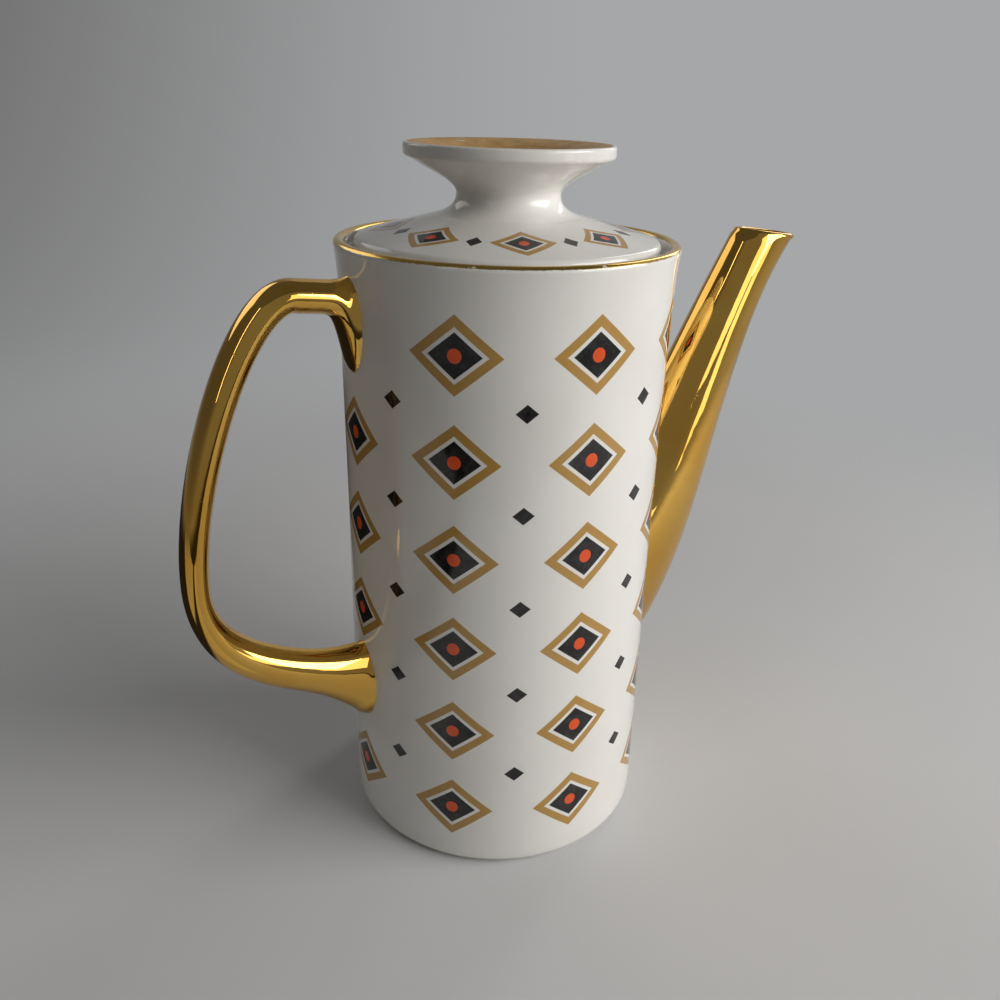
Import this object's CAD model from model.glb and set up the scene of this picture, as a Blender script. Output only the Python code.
# %% [markdown]
# # A gilded coffee pot
# This lesson dresses a packed CAD model in Blender. The CAD model says where every piece is and how it moves.
# Here each plain solid gets a smooth skin and a fired finish: white glaze, printed colours and bright gold.
# Everything is in metres, in the CAD model's own frame: +Z is up, the spout points along +X.

# %% Load the frame
import math

import bmesh
import bpy
from mathutils import Matrix, Vector


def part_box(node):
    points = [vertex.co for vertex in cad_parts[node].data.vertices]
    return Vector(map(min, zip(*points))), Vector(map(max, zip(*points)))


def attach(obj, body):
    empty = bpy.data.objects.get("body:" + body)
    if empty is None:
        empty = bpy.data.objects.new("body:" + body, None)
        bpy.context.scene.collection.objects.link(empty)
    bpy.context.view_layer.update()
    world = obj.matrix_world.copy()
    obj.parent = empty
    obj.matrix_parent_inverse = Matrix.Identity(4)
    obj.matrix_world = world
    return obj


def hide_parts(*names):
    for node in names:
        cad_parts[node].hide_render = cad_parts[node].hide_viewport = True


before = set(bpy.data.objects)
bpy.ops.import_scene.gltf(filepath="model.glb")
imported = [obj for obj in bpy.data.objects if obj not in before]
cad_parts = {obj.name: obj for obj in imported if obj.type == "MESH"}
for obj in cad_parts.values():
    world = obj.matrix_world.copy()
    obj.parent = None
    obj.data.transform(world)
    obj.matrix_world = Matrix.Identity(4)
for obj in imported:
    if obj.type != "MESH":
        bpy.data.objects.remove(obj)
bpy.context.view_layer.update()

mm = 0.001

# %% [markdown]
# ## Writing node trees as Python
# A shader or a Geometry Nodes tree is a graph, and graphs are hard to read as a list of links.
# So one small class wraps a socket: Python's own operators on it add Math nodes,
# and a single method adds every other kind of node. The same class serves both kinds of tree.

# %% A field: a socket that takes part in Python expressions
class Field:
    """A value that varies over a surface. Operators add Math nodes, and node() adds any other node."""

    def __init__(self, tree, socket=None):
        self.tree = tree
        self.socket = socket

    def node(self, kind, settings=None, inputs=None, output=0):
        """Adds a node: its settings first, then its sockets' values or links. Wraps one of its outputs."""
        made = self.tree.nodes.new(kind)
        for key, setting in (settings or {}).items():
            setattr(made, key, setting)
        for key, given in (inputs or {}).items():
            if isinstance(given, Field):
                self.tree.links.new(given.socket, made.inputs[key])
            else:
                made.inputs[key].default_value = given
        return Field(self.tree, made.outputs[output])

    def math(self, operation, first, second=0.0):
        return self.node("ShaderNodeMath", {"operation": operation}, {0: first, 1: second})

    def __add__(self, other):
        return self.math("ADD", self, other)

    def __sub__(self, other):
        return self.math("SUBTRACT", self, other)

    def __rsub__(self, other):
        return self.math("SUBTRACT", other, self)

    def __mul__(self, other):
        return self.math("MULTIPLY", self, other)

    def __truediv__(self, other):
        return self.math("DIVIDE", self, other)

    def __mod__(self, other):
        return self.math("FLOORED_MODULO", self, other)

    def __floordiv__(self, other):
        return self.math("FLOOR", self / other)

    def __gt__(self, other):
        return self.math("GREATER_THAN", self, other)

    def __abs__(self):
        return self.math("ABSOLUTE", self)

    __radd__ = __add__
    __rmul__ = __mul__

    def most(self, other):
        return self.math("MAXIMUM", self, other)

    def least(self, other):
        return self.math("MINIMUM", self, other)

    def ramp(self, low, high):
        """0 below low, 1 above high, with a soft step between. Swapped ends turn the step round."""
        inputs = {"Value": self, "From Min": low, "From Max": high}
        return self.node("ShaderNodeMapRange", {"interpolation_type": "SMOOTHSTEP"}, inputs)

    def spread(self, low, high):
        """A 0 to 1 value stretched to run from low to high."""
        return self * (high - low) + low

    def mix(self, under, over):
        """A colour: under where this field is 0, over where it is 1."""
        inputs = {"Factor": self, 6: under, 7: over}
        return self.node("ShaderNodeMix", {"data_type": "RGBA"}, inputs, 2)

    def part(self, letter):
        return self.node("ShaderNodeSeparateXYZ", {}, {0: self}, letter)

    def parts(self):
        """A vector's three parts."""
        return [self.part(letter) for letter in "XYZ"]

    def hypot(self, other):
        """How long a line is that runs this far one way and another field's value across."""
        return self.math("SQRT", self * self + other * other)

    def noise(self, scale, detail=2.0, roughness=0.5):
        inputs = {"Vector": self, "Scale": scale, "Detail": detail, "Roughness": roughness}
        return self.node("ShaderNodeTexNoise", {}, inputs)

    def stretched(self, x, y, z):
        """A vector field with its three parts scaled."""
        return self.node("ShaderNodeVectorMath", {"operation": "MULTIPLY"}, {0: self, 1: (x, y, z)})


print("Field has", len([name for name in vars(Field) if not name.startswith("__")]), "named methods")

# %% [markdown]
# ## The camera first
# The camera stands where the photographer stood: in front of the handle's side, a little above the rim.
# Its place was solved from the outlines of the rim, the foot and the knob.
# It is given here as a point and three angles.

# %% Camera
camera_place = Vector((-146.6, -253.8, 244.4)) * mm
camera_heading = math.radians(-29.98)
camera_dip = math.radians(23.95)
camera_roll = math.radians(1.50)
sensor = 36.0
lens = 33.26

forward = Vector((
    -math.sin(camera_heading) * math.cos(camera_dip),
    math.cos(camera_heading) * math.cos(camera_dip),
    -math.sin(camera_dip),
))
level_right = forward.cross(Vector((0, 0, 1))).normalized()
level_up = level_right.cross(forward)
right = level_right * math.cos(camera_roll) + level_up * math.sin(camera_roll)
above = level_up * math.cos(camera_roll) - level_right * math.sin(camera_roll)

camera_data = bpy.data.cameras.new("photographer")
camera_data.sensor_width = sensor
camera_data.lens = lens
camera = bpy.data.objects.new("photographer", camera_data)
turned = Matrix((right, above, -forward)).transposed().to_4x4()
camera.matrix_world = Matrix.Translation(camera_place) @ turned
bpy.context.scene.collection.objects.link(camera)
bpy.context.scene.camera = camera
print("camera at", [round(x, 3) for x in camera_place])

# %% [markdown]
# ## Light and stage
# White glaze needs one large soft lamp from the right, and gold needs something to mirror.
# So the pot stands in a wide pale bowl, open at the top: its floor turns up into a plain wall all round.
# Near the pot the floor is a real board that takes its shadow. Further off the bowl is a plain paper grey,
# darker to the left and to the front, and the camera, mirrors and glass all see it so.
# Black and white cards lie on the floor near the pot, and only light and mirrors see them.

# %% Colours that are written as they are seen
def seen(red, green, blue):
    """A colour given as 0 to 255 on a screen, turned into the linear light that shaders work in."""
    parts = []
    for level in (red, green, blue):
        share = level / 255
        parts.append(share / 12.92 if share <= 0.04045 else ((share + 0.055) / 1.055) ** 2.4)
    return (*parts, 1.0)


def new_material(name):
    """An empty glossy material: the material, a field to start expressions from, and its shader."""
    material = bpy.data.materials.new(name)
    material.use_nodes = True
    tree = material.node_tree
    return material, Field(tree), tree.nodes["Principled BSDF"]


def feed(shader, socket, field):
    """Links a field into a shader's socket."""
    field.tree.links.new(field.socket, shader.inputs[socket])


def object_place(field):
    """Where a point lies on its object, in metres."""
    return field.node("ShaderNodeTexCoord", output="Object")


print("white on screen", [round(x, 3) for x in seen(255, 255, 255)])

# %% Sizes and tones of the stage
floor_radius = 0.75
wall_radius = 1.7
wall_height = 1.9
floor_drop = 0.05 * mm
stage_steps = 24
stage_turns = 192

# How far from the pot the camera sees the paper begin, and where it is plain
lit_radius = 0.22
plain_radius = 0.65

# The cards' edges and sizes as the camera has them: left of the pot is below 0, and so is in front of it
white_card_edge = -0.04
card_left = -0.125
card_front = -0.33
card_width = 0.06
card_turn = -0.08
card_border = 0.02
card_end = 0.45

# Where the paper starts to darken to the left and to the front, and where it is darkest
paper_right = 0.2
paper_left = -1.2
paper_behind = 0.2
paper_before = -0.8
front_shade = 0.6

board_dark = seen(208, 208, 209)
board_pale = seen(214, 214, 214)
white_card_tone = seen(246, 246, 244)
black_card_tone = seen(66, 63, 60)
room_tone = seen(112, 111, 109)
paper_pale = seen(166, 167, 168)
paper_dark = seen(84, 83, 83)
no_light = seen(0, 0, 0)
board_rough = 0.75
print("floor", round(2 * floor_radius, 2), "m across")

# %% The stage's paint
def stage_paint():
    """Pale matt board near the pot, with cards that the camera doesn't see, and glowing paper further off."""
    material, field, shader = new_material("pale board")
    place = object_place(field)
    cloud = place.noise(9.0, 3.0)
    board = cloud.mix(board_dark, board_pale)
    x, y = place.part("X"), place.part("Y")
    distance = x.hypot(y)
    # Distances along the floor from the pot: to the camera's right, and away from the camera
    sideways = x * level_right.x + y * level_right.y
    onward = x * -level_right.y + y * level_right.x
    left = sideways.ramp(card_left, card_left - card_border)
    beside = onward.ramp(card_turn - card_border, card_turn)
    strip = left * sideways.ramp(card_left - card_width - card_border, card_left - card_width)
    card = strip.most(left * beside).most(onward.ramp(card_front, card_front - card_border))
    white_card = sideways.ramp(white_card_edge, white_card_edge - card_border) * (1 - beside)
    carded = card.mix(white_card.mix(board, white_card_tone), black_card_tone)
    sight = field.node("ShaderNodeLightPath", output="Is Camera Ray")
    mirrored = field.node("ShaderNodeLightPath", output="Is Glossy Ray")
    through = field.node("ShaderNodeLightPath", output="Is Transmission Ray")
    past_cards = distance.ramp(card_end, floor_radius)
    far = sight * distance.ramp(lit_radius, plain_radius) + (1 - sight) * past_cards
    backdrop = sight.most(mirrored).most(through) * far
    floor = sight.mix(past_cards.mix(carded, room_tone), board)
    feed(shader, "Base Color", backdrop.mix(floor, no_light))
    to_front = onward.ramp(paper_behind, paper_before) * front_shade
    shade = sideways.ramp(paper_right, paper_left).most(to_front)
    paper = shade.mix(paper_pale, paper_dark)
    feed(shader, "Emission Color", backdrop.mix(no_light, paper))
    shader.inputs["Emission Strength"].default_value = 1.0
    shader.inputs["Specular IOR Level"].default_value = 0.0
    shader.inputs["Roughness"].default_value = board_rough
    return material


pale_board = stage_paint()
print("stage paint has", len(pale_board.node_tree.nodes), "nodes")

# %% The bowl-shaped stage
def stage_outline():
    """From the edge of the floor up a quarter of an oval, which is the wall."""
    points = [(floor_radius, -floor_drop)]
    for step in range(1, stage_steps + 1):
        angle = math.pi / 2 * step / stage_steps
        r = floor_radius + (wall_radius - floor_radius) * math.sin(angle)
        points.append((r, wall_height * (1 - math.cos(angle)) - floor_drop))
    return points


def make_stage():
    """One flat face for the floor, and bands of faces up the wall."""
    mesh = bpy.data.meshes.new("stage")
    work = bmesh.new()
    angles = [2 * math.pi * turn / stage_turns for turn in range(stage_turns)]
    rows = []
    for r, z in stage_outline():
        rows.append([work.verts.new((r * math.cos(a), r * math.sin(a), z)) for a in angles])
    work.faces.new(rows[0])
    for low, high in zip(rows, rows[1:]):
        for turn in range(stage_turns):
            after = (turn + 1) % stage_turns
            band = work.faces.new((low[after], low[turn], high[turn], high[after]))
            band.smooth = True
    work.to_mesh(mesh)
    work.free()
    stage = bpy.data.objects.new("stage", mesh)
    mesh.materials.append(pale_board)
    bpy.context.scene.collection.objects.link(stage)
    return stage


stage = make_stage()
print("stage", round(2 * wall_radius, 2), "m across")

# %% Lamps and world
pot_middle = Vector((0, 0, 0.11))
sky_colour = (0.95, 0.97, 1.0, 1.0)
sky_strength = 0.10


def softbox(name, place, width, height, watts, colour):
    """A soft rectangular lamp that faces the pot and doesn't show itself."""
    lamp = bpy.data.lights.new(name, "AREA")
    lamp.shape = "RECTANGLE"
    lamp.size = width
    lamp.size_y = height
    lamp.energy = watts
    lamp.color = colour
    holder = bpy.data.objects.new(name, lamp)
    away = Vector(place) - pot_middle
    holder.matrix_world = Matrix.Translation(place) @ away.to_track_quat("Z", "Y").to_matrix().to_4x4()
    holder.visible_camera = False
    bpy.context.scene.collection.objects.link(holder)
    return holder


softbox("window", (0.80, -0.84, 0.47), 1.0, 0.85, 18.2, (1.0, 0.985, 0.965))
softbox("back fill", (-0.55, 1.15, 0.75), 1.0, 0.8, 3.0, (1.0, 0.99, 0.98))
softbox("window strip", (0.30, -1.05, 0.40), 0.30, 0.75, 1.2, (1.0, 0.985, 0.96))
softbox("low strip", (0.42, -0.62, 0.16), 0.14, 0.30, 0.22, (1.0, 0.985, 0.96))
softbox("far window", (0.95, 0.45, 0.75), 0.20, 0.8, 1.5, (1.0, 0.99, 0.975))
softbox("room", (-1.0, -0.35, 0.7), 0.05, 0.8, 0.45, (0.97, 0.985, 1.0))

world = bpy.data.worlds.new("sky")
world.use_nodes = True
sky = world.node_tree.nodes["Background"]
sky.inputs["Color"].default_value = sky_colour
sky.inputs["Strength"].default_value = sky_strength
bpy.context.scene.world = world
bpy.context.scene.view_settings.view_transform = "Standard"

# %% [markdown]
# ## One tree for every skin
# A pot, a lid, a knob, a spout and a handle have one thing in common: each is a row of rings.
# On turned pieces the rings are circles about one axis.
# On the spout and the handle they are ovals along a bent line.
# Modelling each by hand would repeat the same work, and a spin or a bevelled curve can't do both.
# So the script lists stations, each with a centre and two half-axes, and one Geometry Nodes tree skins them.
# Any point that would end up inside the pot's wall is pressed out to the seat radius,
# so that roots sit in the clay.

# %% Both ends of a Geometry Nodes tree
def open_tree(name, entries):
    """A new tree with named inputs: the tree, a function that reads an input, and identifiers by name."""
    tree = bpy.data.node_groups.new(name, "GeometryNodeTree")
    identifiers = {}
    for title, kind in entries.items():
        socket = tree.interface.new_socket(title, in_out="INPUT", socket_type=kind)
        identifiers[title] = socket.identifier
    tree.interface.new_socket("Result", in_out="OUTPUT", socket_type="NodeSocketGeometry")
    given = tree.nodes.new("NodeGroupInput")

    def entry(title):
        return Field(tree, given.outputs[title])

    return tree, entry, identifiers


def close_tree(shape, crease, finish):
    """Ends a tree: its shape is smoothed between creases, made real and given its finish."""
    smooth = shape.node("GeometryNodeSetShadeSmooth", {}, {"Geometry": shape, "Shade Smooth": True})
    bend = shape.node("GeometryNodeInputMeshEdgeAngle")
    creased = shape.node("GeometryNodeSetShadeSmooth", {"domain": "EDGE"}, {
        "Geometry": smooth, "Selection": bend > crease, "Shade Smooth": False})
    whole = shape.node("GeometryNodeRealizeInstances", {}, {0: creased})
    finished = shape.node("GeometryNodeSetMaterial", {}, {"Geometry": whole, "Material": finish})
    result = shape.tree.nodes.new("NodeGroupOutput")
    shape.tree.links.new(finished.socket, result.inputs[0])


print("trees open with named inputs and close with a finish")

# %% The ring skin tree
station_long = "long_half"
station_wide = "wide_half"


def ring_skin_tree():
    """A grid bent round the stations, one ring of points for each."""
    tree, entry, identifiers = open_tree("ring skin", {
        "Stations": "NodeSocketGeometry",
        "Turns": "NodeSocketInt",
        "Seat radius": "NodeSocketFloat",
        "Weld distance": "NodeSocketFloat",
        "Crease angle": "NodeSocketFloat",
        "Finish": "NodeSocketMaterial",
    })
    start = Field(tree)
    count = start.node(
        "GeometryNodeAttributeDomainSize", {"component": "MESH"}, {0: entry("Stations")}, "Point Count")
    grid_size = {"Vertices X": entry("Turns") + 1, "Vertices Y": count}
    grid = start.node("GeometryNodeMeshGrid", {}, grid_size, "Mesh")
    index = start.node("GeometryNodeInputIndex")
    station = index % count
    turn = (index // count) / entry("Turns") * (2 * math.pi)

    def of_station(name):
        vectors = {"data_type": "FLOAT_VECTOR"}
        if name == "position":
            value = start.node("GeometryNodeInputPosition")
        else:
            value = start.node("GeometryNodeInputNamedAttribute", vectors, {"Name": name})
        inputs = {"Geometry": entry("Stations"), "Value": value, "Index": station}
        return start.node("GeometryNodeSampleIndex", vectors, inputs)

    def scaled(vector, share):
        return start.node("ShaderNodeVectorMath", {"operation": "SCALE"}, {0: vector, "Scale": share})

    def added(first, second):
        return start.node("ShaderNodeVectorMath", {"operation": "ADD"}, {0: first, 1: second})

    along_long = scaled(of_station(station_long), start.math("COSINE", turn))
    along_wide = scaled(of_station(station_wide), start.math("SINE", turn))
    place = added(of_station("position"), added(along_long, along_wide))
    x, y, z = place.parts()
    radius = x.hypot(y)
    push = entry("Seat radius").most(radius) / radius.most(mm * mm)
    seated = start.node("ShaderNodeCombineXYZ", {}, {0: x * push, 1: y * push, 2: z})
    shaped = start.node("GeometryNodeSetPosition", {}, {"Geometry": grid, "Position": seated})
    welding = {"Geometry": shaped, "Distance": entry("Weld distance")}
    welded = start.node("GeometryNodeMergeByDistance", {}, welding)
    close_tree(welded, entry("Crease angle"), entry("Finish"))
    return tree, identifiers


skin_tree, skin_inputs = ring_skin_tree()
print("ring skin tree has", len(skin_tree.nodes), "nodes")

# %% Turning stations into a finished piece
ring_turns = 192
weld_distance = 0.004 * mm
crease_angle = math.radians(38)


def baked(name, source, tree, settings):
    """Runs a Geometry Nodes tree on an object and returns a new object with the result as a plain mesh."""
    bpy.context.scene.collection.objects.link(source)
    modifier = source.modifiers.new("recipe", "NODES")
    modifier.node_group = tree
    for identifier, value in settings.items():
        modifier[identifier] = value
    graph = bpy.context.evaluated_depsgraph_get()
    mesh = bpy.data.meshes.new_from_object(source.evaluated_get(graph), depsgraph=graph)
    source.modifiers.remove(modifier)
    bpy.data.objects.remove(source)
    mesh.name = name
    piece = bpy.data.objects.new(name, mesh)
    bpy.context.scene.collection.objects.link(piece)
    return piece


def face_outwards(piece):
    """Turns a closed mesh's faces outwards, and says how big it is and whether it is closed."""
    work = bmesh.new()
    work.from_mesh(piece.data)
    bmesh.ops.recalc_face_normals(work, faces=work.faces)
    if work.calc_volume(signed=True) < 0:
        bmesh.ops.reverse_faces(work, faces=work.faces)
    gaps = sum(1 for edge in work.edges if len(edge.link_faces) != 2)
    cubic_mm = work.calc_volume() / mm ** 3
    work.to_mesh(piece.data)
    work.free()
    print(piece.name, len(piece.data.polygons), "faces,", gaps, "open edges,", round(cubic_mm), "cubic mm")
    return piece


def skinned(name, stations, finish, turns=ring_turns, seat_radius=0.0):
    """Skins stations, each a centre with its long and wide half-axes, into a closed piece."""
    mesh = bpy.data.meshes.new(name + " stations")
    mesh.from_pydata([centre for centre, _, _ in stations], [], [])
    for column, title in ((1, station_long), (2, station_wide)):
        attribute = mesh.attributes.new(title, "FLOAT_VECTOR", "POINT")
        for place, station in enumerate(stations):
            attribute.data[place].vector = station[column]
    values = {
        "Turns": turns,
        "Seat radius": seat_radius,
        "Weld distance": weld_distance,
        "Crease angle": crease_angle,
        "Finish": finish,
    }
    settings = {skin_inputs[key]: value for key, value in values.items()}
    source = bpy.data.objects.new(name + " stations", mesh)
    return face_outwards(baked(name, source, skin_tree, settings))


def turned_stations(outline):
    """Stations of a piece turned on the pot's axis, from an outline of radius and height."""
    return [(Vector((0, 0, z)), Vector((r, 0, 0)), Vector((0, r, 0))) for r, z in outline]


print("skins have", ring_turns, "faces round")

# %% [markdown]
# ## White glaze, print and gilding
# The real finish has three fired layers: a glossy off-white glaze, flat printed colours under a thin gloss,
# and liquid gold brushed along the rim.
# All of it is worked out from the place on the object, so there are no pictures.
# The print is a plain trade diaper: lozenges in straight rows, in black, ochre and a little orange.

# %% Glaze colours and sizes
glaze_white = seen(231, 229, 224)
glaze_thin = seen(219, 214, 204)
print_black = seen(24, 22, 23)
print_ochre = seen(178, 138, 70)
print_orange = seen(222, 86, 38)
biscuit = seen(214, 196, 172)
gold_bright = seen(226, 186, 98)
gold_matt = seen(208, 166, 98)
gold_brown = seen(184, 139, 70)
gold_deep = seen(222, 168, 70)
gold_light = seen(234, 188, 94)
gold_pit = seen(120, 84, 38)
print_softness = 0.12 * mm
print_depth = 3.2 * mm
pooled_share = 0.22
speck_share = 0.45
glaze_rough = (0.03, 0.09)
glaze_bump = 0.25
glaze_wave = 0.5 * mm

body_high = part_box("pot_body")[1]
rim_radius = body_high.x
rim_height = body_high.z
columns = 8
rows = 6
row_pitch = 31 * mm
first_row = 8 * mm
print("print cells", columns * rows)

# %% Shapes for the print
motif_halves = (14.0 * mm, 11.4 * mm)
motif_window = (9.9 * mm, 8.0 * mm)
motif_core = (8.1 * mm, 6.6 * mm)
motif_dot = 2.1 * mm
small_halves = (3.4 * mm, 2.8 * mm)


def lozenge(p, q, halves, scale=1.0):
    """How far inside the edge of a lozenge a point is. Its halves are its half width and half height."""
    half_wide, half_tall = [half * scale for half in halves]
    slant = half_wide * half_tall / math.hypot(half_wide, half_tall)
    return (1 - abs(p) / half_wide - abs(q) / half_tall) * slant


def disc(p, q, radius):
    """How far inside a round dot a point is."""
    return radius - p.hypot(q)


def inked(distance):
    """Full colour inside an edge, none outside, with a print's slightly soft border."""
    return distance.ramp(-print_softness, print_softness)


def motif(p, q, scale=1.0):
    """Nested lozenges with a dot. Gives the ochre, black and orange areas."""
    window = inked(lozenge(p, q, motif_window, scale))
    ochre = inked(lozenge(p, q, motif_halves, scale)) * (1 - window)
    black = inked(lozenge(p, q, motif_core, scale))
    orange = inked(disc(p, q, motif_dot * scale))
    return ochre, black, orange


def printed(place, colour, inks, area=1.0):
    """A colour with ochre, black and orange ink over it in turn, each a little thin in places."""
    density = place.noise(260.0, 4.0, 0.7).spread(0.93, 1.05).least(1.0) * area
    for ink, tone in zip(inks, (print_ochre, print_black, print_orange)):
        colour = (ink * density).mix(colour, tone)
    return colour


print("motif is", *[round(2 * half / mm, 1) for half in motif_halves], "mm")

# %% What the glazes share
def add_bump(shader, height, strength, distance):
    """Feeds a height field, through Bump, to a shader's normal."""
    inputs = {"Height": height, "Strength": strength, "Distance": distance}
    feed(shader, "Normal", height.node("ShaderNodeBump", {}, inputs))


def glaze_base(name):
    """The plain glaze that every white piece shares: colour, gloss and the slight unevenness of dipping."""
    material, field, shader = new_material(name)
    place = object_place(field)
    pooled = place.noise(38.0, 3.0).ramp(0.45, 0.75)
    specks = place.noise(950.0, 1.0).ramp(0.765, 0.80)
    colour = (pooled * pooled_share + specks * speck_share).mix(glaze_white, glaze_thin)
    smears = place.noise(70.0, 4.0, 0.6).ramp(0.35, 0.75)
    waves = place.noise(55.0, 1.0) * 0.7 + place.noise(420.0, 1.0) * 0.04
    add_bump(shader, waves, glaze_bump, glaze_wave)
    return material, shader, place, colour, smears.spread(*glaze_rough)


gilt_ragged = 0.28 * mm
gilt_border = 0.12 * mm
gilt_wear = 0.65


def gilded(place, edge):
    """Brushed gold: where edge is above 0, thin and broken along its border."""
    ragged = place.noise(520.0, 3.0, 0.65).spread(-gilt_ragged, gilt_ragged)
    worn = place.noise(330.0, 3.0, 0.6).ramp(0.62, 0.72) * gilt_wear
    return (edge + ragged).ramp(0.0, gilt_border) * (1 - worn)


print("glaze roughness from", glaze_rough[0], "to", glaze_rough[1])

# %% Body glaze
rim_line = 0.9 * mm
foot_bare = 0.45 * mm
bare_fade = 0.6
bare_from = 0.4 * rim_radius
bare_rough = 0.8
gilt_rough = 0.12
side_softness = 0.001
spout_clear = (40 * mm, 132 * mm)
handle_clear = ((32 * mm, 82 * mm), (155 * mm, 205 * mm))


def within(value, low, high):
    """1 between two limits, 0 elsewhere."""
    return (value > low) * (high - value > 0.0)


def body_glaze():
    """Glaze with the printed diaper, a gilded rim and a bare foot ring."""
    material, shader, place, colour, rough = glaze_base("printed glaze")
    x, y, z = place.parts()
    radius = x.hypot(y)
    bearing = x.math("ARCTAN2", y, x)
    across = bearing / (2 * math.pi) * columns + 0.5
    upward = (z - first_row) / row_pitch
    cell_width = 2 * math.pi * rim_radius / columns
    outside = (radius > rim_radius - print_depth) * within(upward, 0.0, rows)

    p = (across % 1.0 - 0.5) * cell_width
    q = (upward % 1.0 - 0.5) * row_pitch
    row_middle = (upward // 1.0 + 0.5) * row_pitch + first_row
    half_cell = math.pi / columns
    spout_side = abs(bearing).ramp(half_cell + side_softness, half_cell)
    handle_side = abs(bearing).ramp(math.pi - half_cell - side_softness, math.pi - half_cell)
    covered = spout_side * within(row_middle, *spout_clear)
    for band in handle_clear:
        covered = covered.most(handle_side * within(row_middle, *band))
    shown = outside * (1 - covered)
    ochre, black, orange = [ink * shown for ink in motif(p, q)]

    p_small = ((across + 0.5) % 1.0 - 0.5) * cell_width
    q_small = ((upward + 0.5) % 1.0 - 0.5) * row_pitch
    between_rows = outside * within(upward, 0.5, rows - 0.5)
    small = between_rows * inked(lozenge(p_small, q_small, small_halves))
    colour = printed(place, colour, (ochre, black.most(small), orange))

    gold = gilded(place, z - (rim_height - rim_line))
    bare = z.ramp(foot_bare, foot_bare * bare_fade) * (radius > bare_from)
    colour = bare.mix(gold.mix(colour, gold_bright), biscuit)
    feed(shader, "Base Color", colour)
    feed(shader, "Metallic", gold)
    feed(shader, "Roughness", (rough + gold * gilt_rough).most(bare * bare_rough))
    return material


white_glaze = body_glaze()
print("body glaze has", len(white_glaze.node_tree.nodes), "nodes")

# %% Lid glaze
lid_low, lid_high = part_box("lid_cover")
lid_radius = lid_high.x
lid_columns = 8
lid_ring = 35.2 * mm
lid_scale = 0.68
lid_small_halves = (2.4 * mm, 3.0 * mm)
lid_print_from = rim_height - 2.0 * mm


def lid_glaze():
    """Glaze with a ring of the same lozenges, set radially."""
    material, shader, place, colour, rough = glaze_base("lid glaze")
    x, y, z = place.parts()
    radius = x.hypot(y)
    across = x.math("ARCTAN2", y, x) / (2 * math.pi) * lid_columns
    cell_width = 2 * math.pi * lid_ring / lid_columns
    p = (across % 1.0 - 0.5) * cell_width
    q = radius - lid_ring
    ochre, black, orange = motif(p, q, lid_scale)
    p_small = ((across + 0.5) % 1.0 - 0.5) * cell_width
    small = inked(lozenge(p_small, q, lid_small_halves))
    colour = printed(place, colour, (ochre, black.most(small), orange), z > lid_print_from)
    feed(shader, "Base Color", colour)
    feed(shader, "Roughness", rough)
    return material


lid_finish = lid_glaze()
print("lid glaze has", len(lid_finish.node_tree.nodes), "nodes")

# %% Knob glaze with a gilded dish
knob_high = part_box("lid_knob")[1]
knob_radius = knob_high.x
knob_top = knob_high.z
dish_border = 1.2 * mm
dish_depth = 11 * mm
knob_waist_radius = 15.9 * mm
# A cone halfway between the dish and the underside tells the two apart: its drop at the waist, and its slope
dish_divide = 9.1 * mm
dish_slope = 0.53
dish_metal = 0.35
dish_rough = 0.45
brush_strokes = 2600.0
brush_wander = 9.0


def knob_glaze():
    """White glaze outside, and in the dish a matt gold that was brushed on in circles."""
    material, shader, place, colour, rough = glaze_base("knob glaze")
    x, y, z = place.parts()
    radius = x.hypot(y)
    inside = (knob_radius - dish_border) - radius
    mid_wall = (radius - knob_waist_radius) * dish_slope + (knob_top - dish_divide)
    dish = gilded(place, inside) * (z > mid_wall)
    wobble = radius * brush_strokes + place.noise(60.0, 2.0) * brush_wander
    brushed = wobble.math("SINE", wobble)
    mottled = place.noise(180.0, 4.0, 0.6)
    gold = (mottled + brushed * 0.03).ramp(0.3, 0.7).mix(gold_brown, gold_matt)
    feed(shader, "Base Color", dish.mix(colour, gold))
    feed(shader, "Metallic", dish * dish_metal)
    feed(shader, "Roughness", rough.most(dish * dish_rough))
    return material


knob_finish = knob_glaze()
print("knob glaze has", len(knob_finish.node_tree.nodes), "nodes")

# %% Bright gold
gold_coat = 0.15
gold_rough = (0.025, 0.07)
gold_bump = 0.3
gold_wave = 0.8 * mm


def bright_gold_finish():
    """Liquid gold fired over glaze: a mirror with the glaze's waves, a few pits and fine wear."""
    material, field, shader = new_material("bright gold")
    place = object_place(field)
    tone = place.noise(24.0, 3.0).ramp(0.3, 0.7)
    pits = place.noise(620.0, 2.0, 0.5).ramp(0.735, 0.77)
    scuffs = place.stretched(1.0, 1.0, 0.25).noise(900.0, 3.0, 0.6).ramp(0.66, 0.80)
    colour = tone.mix(gold_deep, gold_light)
    colour = (pits * 0.7).mix(colour, gold_pit)
    feed(shader, "Base Color", colour)
    shader.inputs["Metallic"].default_value = 1.0
    shader.inputs["Coat Weight"].default_value = gold_coat
    rough = place.noise(45.0, 3.0, 0.6).ramp(0.35, 0.75).spread(*gold_rough)
    feed(shader, "Roughness", rough + scuffs * 0.1 + pits * 0.25)
    waves = place.noise(48.0, 1.0) + place.noise(120.0, 1.0) * 0.22
    waves = waves + place.noise(330.0, 1.0) * 0.03 - pits * 0.05
    add_bump(shader, waves, gold_bump, gold_wave)
    return material


bright_gold = bright_gold_finish()
print("bright gold has", len(bright_gold.node_tree.nodes), "nodes")

# %% [markdown]
# ## Outlines of the turned pieces
# The pot, the lid and the knob were turned on a wheel or cast in turned moulds,
# so each is one outline swung round. An outline is written with its corners, with arcs where the clay
# is rounded and bows where it is gently curved.

# %% Curves for outlines
curve_steps = 14
corner_steps = 5


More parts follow.
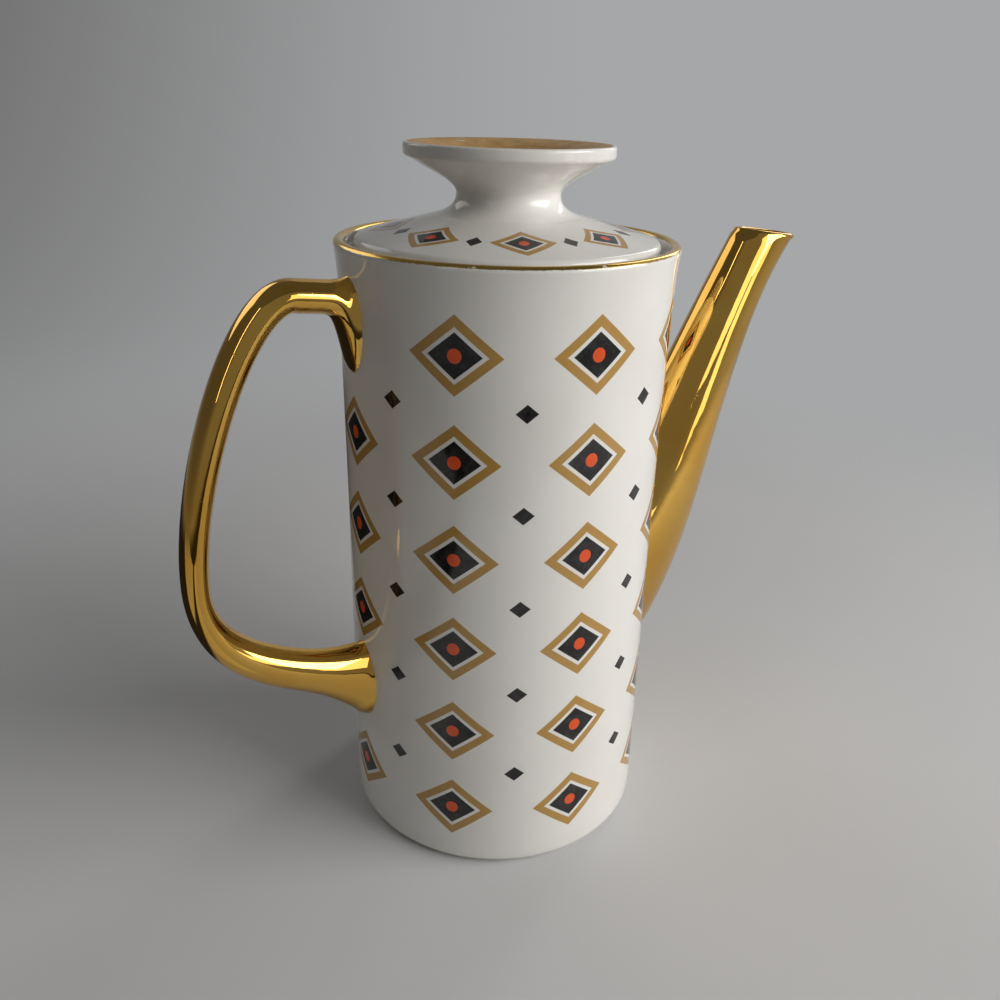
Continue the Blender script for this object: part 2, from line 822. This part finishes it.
def bow(start, middle, end, steps=curve_steps):
    """A gentle curve through three points, without its first point."""
    pull = (Vector(middle) * 4 - Vector(start) - Vector(end)) / 2
    points = []
    for step in range(1, steps + 1):
        t = step / steps
        points.append(tuple(Vector(start) * (1 - t) ** 2 + pull * (2 * t * (1 - t)) + Vector(end) * t ** 2))
    return points


def pulled(pulls, share):
    """A point on the curve from the first pull to the last, drawn towards the two between them."""
    weights = ((1 - share) ** 3, 3 * share * (1 - share) ** 2, 3 * share ** 2 * (1 - share), share ** 3)
    parts = [pull * weight for pull, weight in zip(pulls, weights)]
    return sum(parts[1:], parts[0])


def flow(start, leaving, arriving, end, steps=curve_steps):
    """A curve that leaves towards one point and arrives from another, without its first point."""
    pulls = [Vector(point) for point in (start, leaving, arriving, end)]
    return [tuple(pulled(pulls, step / steps)) for step in range(1, steps + 1)]


def swung(first, last, share):
    """A spoke swung part of the way from one place to another about its pivot."""
    return first.normalized().slerp(last.normalized(), share) * first.length


def corner(point, before, after, radius, steps=corner_steps):
    """A corner rounded off: the arc's points between the lines from before and to after."""
    tip = Vector(point)
    arriving = (tip - Vector(before)).normalized()
    leaving = (Vector(after) - tip).normalized()
    half_turn = arriving.angle(leaving) / 2
    cut = radius * math.tan(half_turn)
    pivot = tip + (leaving - arriving).normalized() * (radius / math.cos(half_turn))
    first = tip - arriving * cut - pivot
    last = tip + leaving * cut - pivot
    points = []
    for step in range(steps + 1):
        points.append(tuple(pivot + swung(first, last, step / steps)))
    return points


def rounded(corners):
    """An outline from corners given as radius, height and rounding."""
    points = []
    for place, (r, z, rounding) in enumerate(corners):
        if rounding:
            points += corner((r, z), corners[place - 1][:2], corners[place + 1][:2], rounding)
        else:
            points.append((r, z))
    return points


print("a bow has", curve_steps, "steps")

# %% Pot shell
waist_radius = rim_radius - 1.2 * mm
waist_height = 105 * mm
foot_radius = rim_radius - 0.3 * mm
foot_edge = 4 * mm
wall = 4 * mm
rim_wall = 3.4 * mm
rim_round = 1.6 * mm
gallery_height = rim_height - 4.2 * mm
mouth_radius = rim_radius - rim_wall - 8 * mm
chamber_radius = waist_radius - wall
floor_height = 6 * mm
flare_start = rim_height - 25 * mm
flare_rise = 15 * mm
flare_swell = 0.4 * mm
neck_swell = 0.1 * mm
throat_drop = 4 * mm
recess_height = 1.6 * mm
recess_radius = 41.0 * mm
foot_ring_radius = 42.9 * mm
wall_steps = 40


def pot_outline():
    """From the middle of the underside round the foot, up the wall, over the rim and down to the floor."""
    inner_rim = rim_radius - rim_wall
    side = (foot_radius, foot_edge)
    neck = (waist_radius + neck_swell, flare_start)
    lip = (rim_radius, rim_height - rim_round)
    under = rounded([
        (0.0, recess_height, 0),
        (recess_radius, recess_height, 0.6 * mm),
        (foot_ring_radius, 0.0, 0.8 * mm),
        (foot_radius, 0.0, foot_edge),
        (foot_radius, 2 * foot_edge, 0),
    ])[:-1]
    wall_up = bow(side, (waist_radius, waist_height), neck, wall_steps)
    flare = bow(neck, (waist_radius + flare_swell, flare_start + flare_rise), lip)
    throat_low = gallery_height - throat_drop
    inside = rounded([
        lip + (0,),
        (rim_radius, rim_height, rim_round),
        (inner_rim, rim_height, rim_round),
        (inner_rim, gallery_height, 0.7 * mm),
        (mouth_radius, gallery_height, 0.9 * mm),
        (mouth_radius, throat_low, 1.2 * mm),
        (chamber_radius, throat_low - (chamber_radius - mouth_radius), 5 * mm),
        (chamber_radius, floor_height, 9 * mm),
        (0.0, floor_height, 0),
    ])[1:]
    return under + wall_up + flare + inside


pot_shell = skinned("pot_shell", turned_stations(pot_outline()), white_glaze)

# %% Lid plate
lid_edge_top = gallery_height + 4.4 * mm
lid_crown = lid_high.z
knob_seat_radius = 21.8 * mm
flange_outer = mouth_radius - 1 * mm
flange_inner = flange_outer - 3.5 * mm
lid_floor = 4.5 * mm


def lid_outline():
    """From the middle of the ceiling down the flange, round the edge and up the cone to the knob's seat."""
    return rounded([
        (0.0, lid_crown - lid_floor, 0),
        (knob_seat_radius, lid_crown - lid_floor, 12 * mm),
        (flange_inner, gallery_height, 3 * mm),
        (flange_inner, lid_low.z, 1.2 * mm),
        (flange_outer, lid_low.z, 1.2 * mm),
        (flange_outer, gallery_height, 0.6 * mm),
        (lid_radius, gallery_height, 0.7 * mm),
        (lid_radius, lid_edge_top, 1.9 * mm),
        (knob_seat_radius, lid_crown, 4 * mm),
        (0.0, lid_crown, 0),
    ])


lid_plate = skinned("lid_plate", turned_stations(lid_outline()), lid_finish)

# %% Funnel knob
knob_waist = (knob_waist_radius, lid_crown + 6.1 * mm)
knob_skirt = 23.4 * mm
lip_height = 3.6 * mm
seat_gap = 0.05 * mm
skirt_gap = 0.03 * mm
skirt_pull = (18.2 * mm, lid_crown + 0.9 * mm)
waist_pull = 3.2 * mm
underside_pull = (23.8 * mm, lid_crown + 12.2 * mm)
underside_steps = 24
dish_wall = (17.6 * mm, knob_top - 3.7 * mm)
dish_floor_radius = 9 * mm
dish_sink = 0.5 * mm


def cone_height(radius):
    """Height of the lid's coned top at a radius."""
    run = lid_radius - knob_seat_radius
    return lid_crown - (lid_crown - lid_edge_top) * (radius - knob_seat_radius) / run


def knob_outline():
    """Seat, skirt that runs out into the lid, waist, flared underside, lip and dish."""
    skirt = (knob_skirt, cone_height(knob_skirt) + skirt_gap)
    lip_low = (knob_radius - 2.4 * mm, knob_top - lip_height - 1.0 * mm)
    dish_edge = (knob_radius - 1.9 * mm, knob_top)
    dish_floor = (dish_floor_radius, knob_top - dish_depth)
    waist_r, waist_z = knob_waist
    stem = flow(skirt, skirt_pull, (waist_r, waist_z - waist_pull), knob_waist)
    underside = flow(knob_waist, (waist_r, waist_z + waist_pull), underside_pull, lip_low, underside_steps)
    lip = rounded([
        lip_low + (0,),
        (knob_radius - 0.1 * mm, knob_top - lip_height, 1.3 * mm),
        (knob_radius, knob_top, 0.8 * mm),
        dish_edge + (0,),
    ])
    dish = bow(dish_edge, dish_wall, dish_floor)
    seat_height = lid_crown + seat_gap
    seat = [(0.0, seat_height), (knob_seat_radius, seat_height), skirt]
    dish_middle = (0.0, knob_top - dish_depth - dish_sink)
    return seat + stem + underside + lip[1:] + dish + [dish_middle]


funnel_knob = skinned("funnel_knob", turned_stations(knob_outline()), knob_finish)

# %% [markdown]
# ## The spout
# The spout is a hollow horn, cast by itself and stuck on with slip.
# Its rings are ovals that lean more and more: upright against the wall, nearly level at the mouth.
# The inner edge runs up from the fork with the wall,
# and the outer edge is one long curve that swells out at the belly and hangs a little under the mouth.

# %% Spout horn
spout_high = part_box("spout")[1]
seat_radius = waist_radius - wall / 2
spout_root_low = 31 * mm
spout_root_high = 122.5 * mm
spout_root_half_width = 17 * mm
spout_mouth_length = 24.6 * mm
spout_mouth_rise = 3 * mm
spout_mouth_half_width = 9 * mm
spout_wall = 2.8 * mm
spout_steps = 64
spout_turns = 96
spout_lip_steps = 6
fork_ease = 1.8
width_ease = 1.2
belly_pull = Vector((48.8, 0, 37.8)) * mm
throat_pull = Vector((35.6, 0, 42.9)) * mm
root_depth = 5 * mm
lip_round = 1.2 * mm


def spout_section(along):
    """The section at a share of the spout's length: inner edge, outer edge and half width."""
    fork = Vector((waist_radius, 0, spout_root_high))
    heel = Vector((waist_radius - root_depth, 0, spout_root_low))
    mouth_outer = Vector((spout_high.x, 0, spout_high.z - spout_mouth_rise))
    mouth_inner = Vector((spout_high.x - spout_mouth_length, 0, spout_high.z))
    outer = pulled([heel, heel + belly_pull, mouth_outer - throat_pull, mouth_outer], along)
    inner = fork + (mouth_inner - fork) * along ** fork_ease
    swell = (spout_root_half_width - spout_mouth_half_width) * (1 - along) ** width_ease
    return inner, outer, spout_mouth_half_width + swell


def spout_ring(along, inset, drop=0.0):
    """A station of the spout, drawn in by inset and lowered by drop."""
    inner, outer, half_width = spout_section(along)
    long_half = (outer - inner) / 2
    direction = long_half.normalized()
    middle = (inner + outer) / 2 - Vector((0, 0, drop))
    return middle, direction * (long_half.length - inset), Vector((0, half_width - inset, 0))


def spout_stations():
    """Up the outside, over the lip and back down the bore, closing on the first ring."""
    shares = [step / spout_steps for step in range(spout_steps)]
    back = Vector((root_depth, 0, 0))

    def root(inset):
        middle, long_half, wide_half = spout_ring(0.0, inset)
        return middle - back, long_half, wide_half

    outside = [root(0.0)] + [spout_ring(share, 0.0) for share in shares]
    lip = []
    for step in range(spout_lip_steps + 1):
        angle = math.pi * step / spout_lip_steps
        inset = spout_wall / 2 * (1 - math.cos(angle))
        lip.append(spout_ring(1.0, inset, lip_round * (1 - math.sin(angle))))
    bore = [spout_ring(share, spout_wall) for share in reversed(shares)] + [root(spout_wall)]
    return outside + lip + bore + [root(0.0)]


spout_horn = skinned("spout_horn", spout_stations(), bright_gold, spout_turns, seat_radius)

# %% [markdown]
# ## The handle
# The handle is one bent strap. Its line is a straight shoulder and two curves that meet where it is widest,
# and its ends flare into plates: a long tail under the upper root, and a fuller foot at the lower one.
# The flare fades with distance from the wall, so it is a formula and not a list of sections.

# %% Handle line
handle_below_rim = 15 * mm
handle_top = rim_height - handle_below_rim
handle_bottom = 59 * mm
handle_reach = 52.5 * mm
widest_rise = 46.6 * mm
widest_z = handle_bottom + widest_rise
shoulder_run = 17 * mm
shoulder_rise = 2.4 * mm
shoulder_pull = 15.5 * mm
run_pull = Vector((0, 0, 32)) * mm
heel_pull = Vector((0, 0, 30)) * mm
lower_arm_pull = Vector((-27.5, 0, 7.2)) * mm
shoulder_steps = 18
handle_steps = 80


def handle_line():
    """Points along a straight shoulder, then along two curves that meet at the widest point."""
    upper_root = Vector((root_depth - waist_radius, 0, handle_top))
    lower_root = Vector((root_depth - waist_radius, 0, handle_bottom))
    shoulder = Vector((-waist_radius - shoulder_run, 0, handle_top + shoulder_rise))
    widest = Vector((-waist_radius - handle_reach, 0, widest_z))
    arriving = (shoulder - upper_root).normalized()
    run = [shoulder, shoulder + arriving * shoulder_pull, widest + run_pull, widest]
    heel = [widest, widest - heel_pull, lower_root + lower_arm_pull, lower_root]
    points = [upper_root.lerp(shoulder, step / shoulder_steps) for step in range(shoulder_steps)]
    points += [pulled(run, step / handle_steps) for step in range(handle_steps)]
    return points + [pulled(heel, step / handle_steps) for step in range(handle_steps + 1)]


handle_points = handle_line()
print("handle line has", len(handle_points), "points")

# %% Ear handle
handle_half_depth = 4.1 * mm
handle_half_width = 6.3 * mm
handle_turns = 64
arm_ease = 4
slip_bead = 0.8 * mm
slip_reach = 1.0 * mm
upper_plate = {
    "arm": 4.85 * mm, "outside": 6.4 * mm, "inside": 22 * mm, "half_width": 7.0 * mm,
    "reach": 7.6 * mm, "ease": 3.2,
}
lower_plate = {
    "arm": 7.0 * mm, "outside": 16 * mm, "inside": 12.5 * mm, "half_width": 7.9 * mm,
    "reach": 14.4 * mm, "ease": 1.84,
}


def handle_stations():
    """Ovals along the handle's line, widened where they near the wall. Both ends close inside the wall."""
    across = Vector((0, 1, 0))
    stations = []
    last = len(handle_points) - 1
    for place, point in enumerate(handle_points):
        ahead = handle_points[min(place + 1, last)]
        behind = handle_points[max(place - 1, 0)]
        direction = (ahead - behind).normalized()
        away = across.cross(direction)
        from_wall = -point.x - waist_radius
        plate = upper_plate if point.z > widest_z else lower_plate
        near = 1 - min(max(from_wall, 0.0) / handle_reach, 1.0) ** arm_ease
        half = handle_half_depth + (plate["arm"] - handle_half_depth) * near
        share = math.exp(-(max(from_wall + root_depth, 0.0) / plate["reach"]) ** plate["ease"])
        bead = slip_bead * math.exp(-max(from_wall, 0.0) / slip_reach)
        outside = half + (plate["outside"] - half) * share + bead
        inside = half + (plate["inside"] - half) * share + bead
        half_width = handle_half_width + (plate["half_width"] - handle_half_width) * share + bead
        middle = point + away * ((outside - inside) / 2)
        stations.append((middle, away * ((outside + inside) / 2), across * half_width))
    nothing = Vector()
    return [(stations[0][0], nothing, nothing)] + stations + [(stations[-1][0], nothing, nothing)]


ear_handle = skinned("ear_handle", handle_stations(), bright_gold, handle_turns, seat_radius)

# %% [markdown]
# ## The strainer
# Behind the spout the wall is pierced with a rosette of pour holes.
# Holes that repeat are a job for instances:
# one drill is placed on every point of the rosette, and all the drills are cut from the wall at once.

# %% The pierced wall tree
drill_sides = 40


def pierced_wall_tree():
    """Drills on the points of a rosette, laid along X, and cut from a wall."""
    tree, entry, identifiers = open_tree("pierced wall", {
        "Wall": "NodeSocketGeometry",
        "Holes round": "NodeSocketInt",
        "Ring radius": "NodeSocketFloat",
        "Hole radius": "NodeSocketFloat",
        "Drill length": "NodeSocketFloat",
        "Middle": "NodeSocketVector",
        "Crease angle": "NodeSocketFloat",
        "Finish": "NodeSocketMaterial",
    })
    start = Field(tree)
    rosette = start.node("GeometryNodeMeshCircle", {"fill_type": "TRIANGLE_FAN"}, {
        "Vertices": entry("Holes round"), "Radius": entry("Ring radius")})
    drill = start.node("GeometryNodeMeshCylinder", {}, {
        "Vertices": drill_sides, "Radius": entry("Hole radius"), "Depth": entry("Drill length")})
    drills = start.node("GeometryNodeInstanceOnPoints", {}, {"Points": rosette, "Instance": drill})
    laid = start.node("GeometryNodeTransform", {}, {
        "Geometry": drills, "Translation": entry("Middle"), "Rotation": (0.0, math.pi / 2, 0.0)})
    solid_drills = start.node("GeometryNodeRealizeInstances", {}, {0: laid})
    cut = start.node("GeometryNodeMeshBoolean", {"operation": "DIFFERENCE", "solver": "EXACT"}, {
        "Mesh 1": entry("Wall"), "Mesh 2": solid_drills})
    close_tree(cut, entry("Crease angle"), entry("Finish"))
    return tree, identifiers


pierced_tree, pierced_inputs = pierced_wall_tree()
print("pierced wall tree has", len(pierced_tree.nodes), "nodes")

# %% Piercing the pot
strainer_height = 78 * mm
strainer_ring = 8.8 * mm
strainer_count = 6
strainer_hole = 5.5 * mm


def pierced(piece, finish):
    """The same piece with the strainer's holes through its wall."""
    name = piece.name
    source = bpy.data.objects.new(name + " whole", piece.data)
    bpy.data.objects.remove(piece)
    values = {
        "Holes round": strainer_count,
        "Ring radius": strainer_ring,
        "Hole radius": strainer_hole / 2,
        "Drill length": 4 * wall,
        "Middle": (chamber_radius + wall / 2, 0.0, strainer_height),
        "Crease angle": crease_angle,
        "Finish": finish,
    }
    settings = {pierced_inputs[key]: value for key, value in values.items()}
    return face_outwards(baked(name, source, pierced_tree, settings))


pot_shell = pierced(pot_shell, white_glaze)

# %% [markdown]
# ## Joining the pieces to the frame
# Each skin rides on the body that its CAD solid belongs to, hides that solid and names its material slot.

# %% Ride, replace and name the finish
for piece, body, node, slot in (
    (pot_shell, "pot", "pot_body", "white_glaze"),
    (spout_horn, "pot", "spout", "bright_gold"),
    (ear_handle, "pot", "handle", "bright_gold"),
    (lid_plate, "lid", "lid_cover", "white_glaze"),
    (funnel_knob, "lid", "lid_knob", "white_glaze"),
):
    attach(piece, body)
    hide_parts(node)
print("pieces", [piece.name for piece in (pot_shell, spout_horn, ear_handle, lid_plate, funnel_knob)])
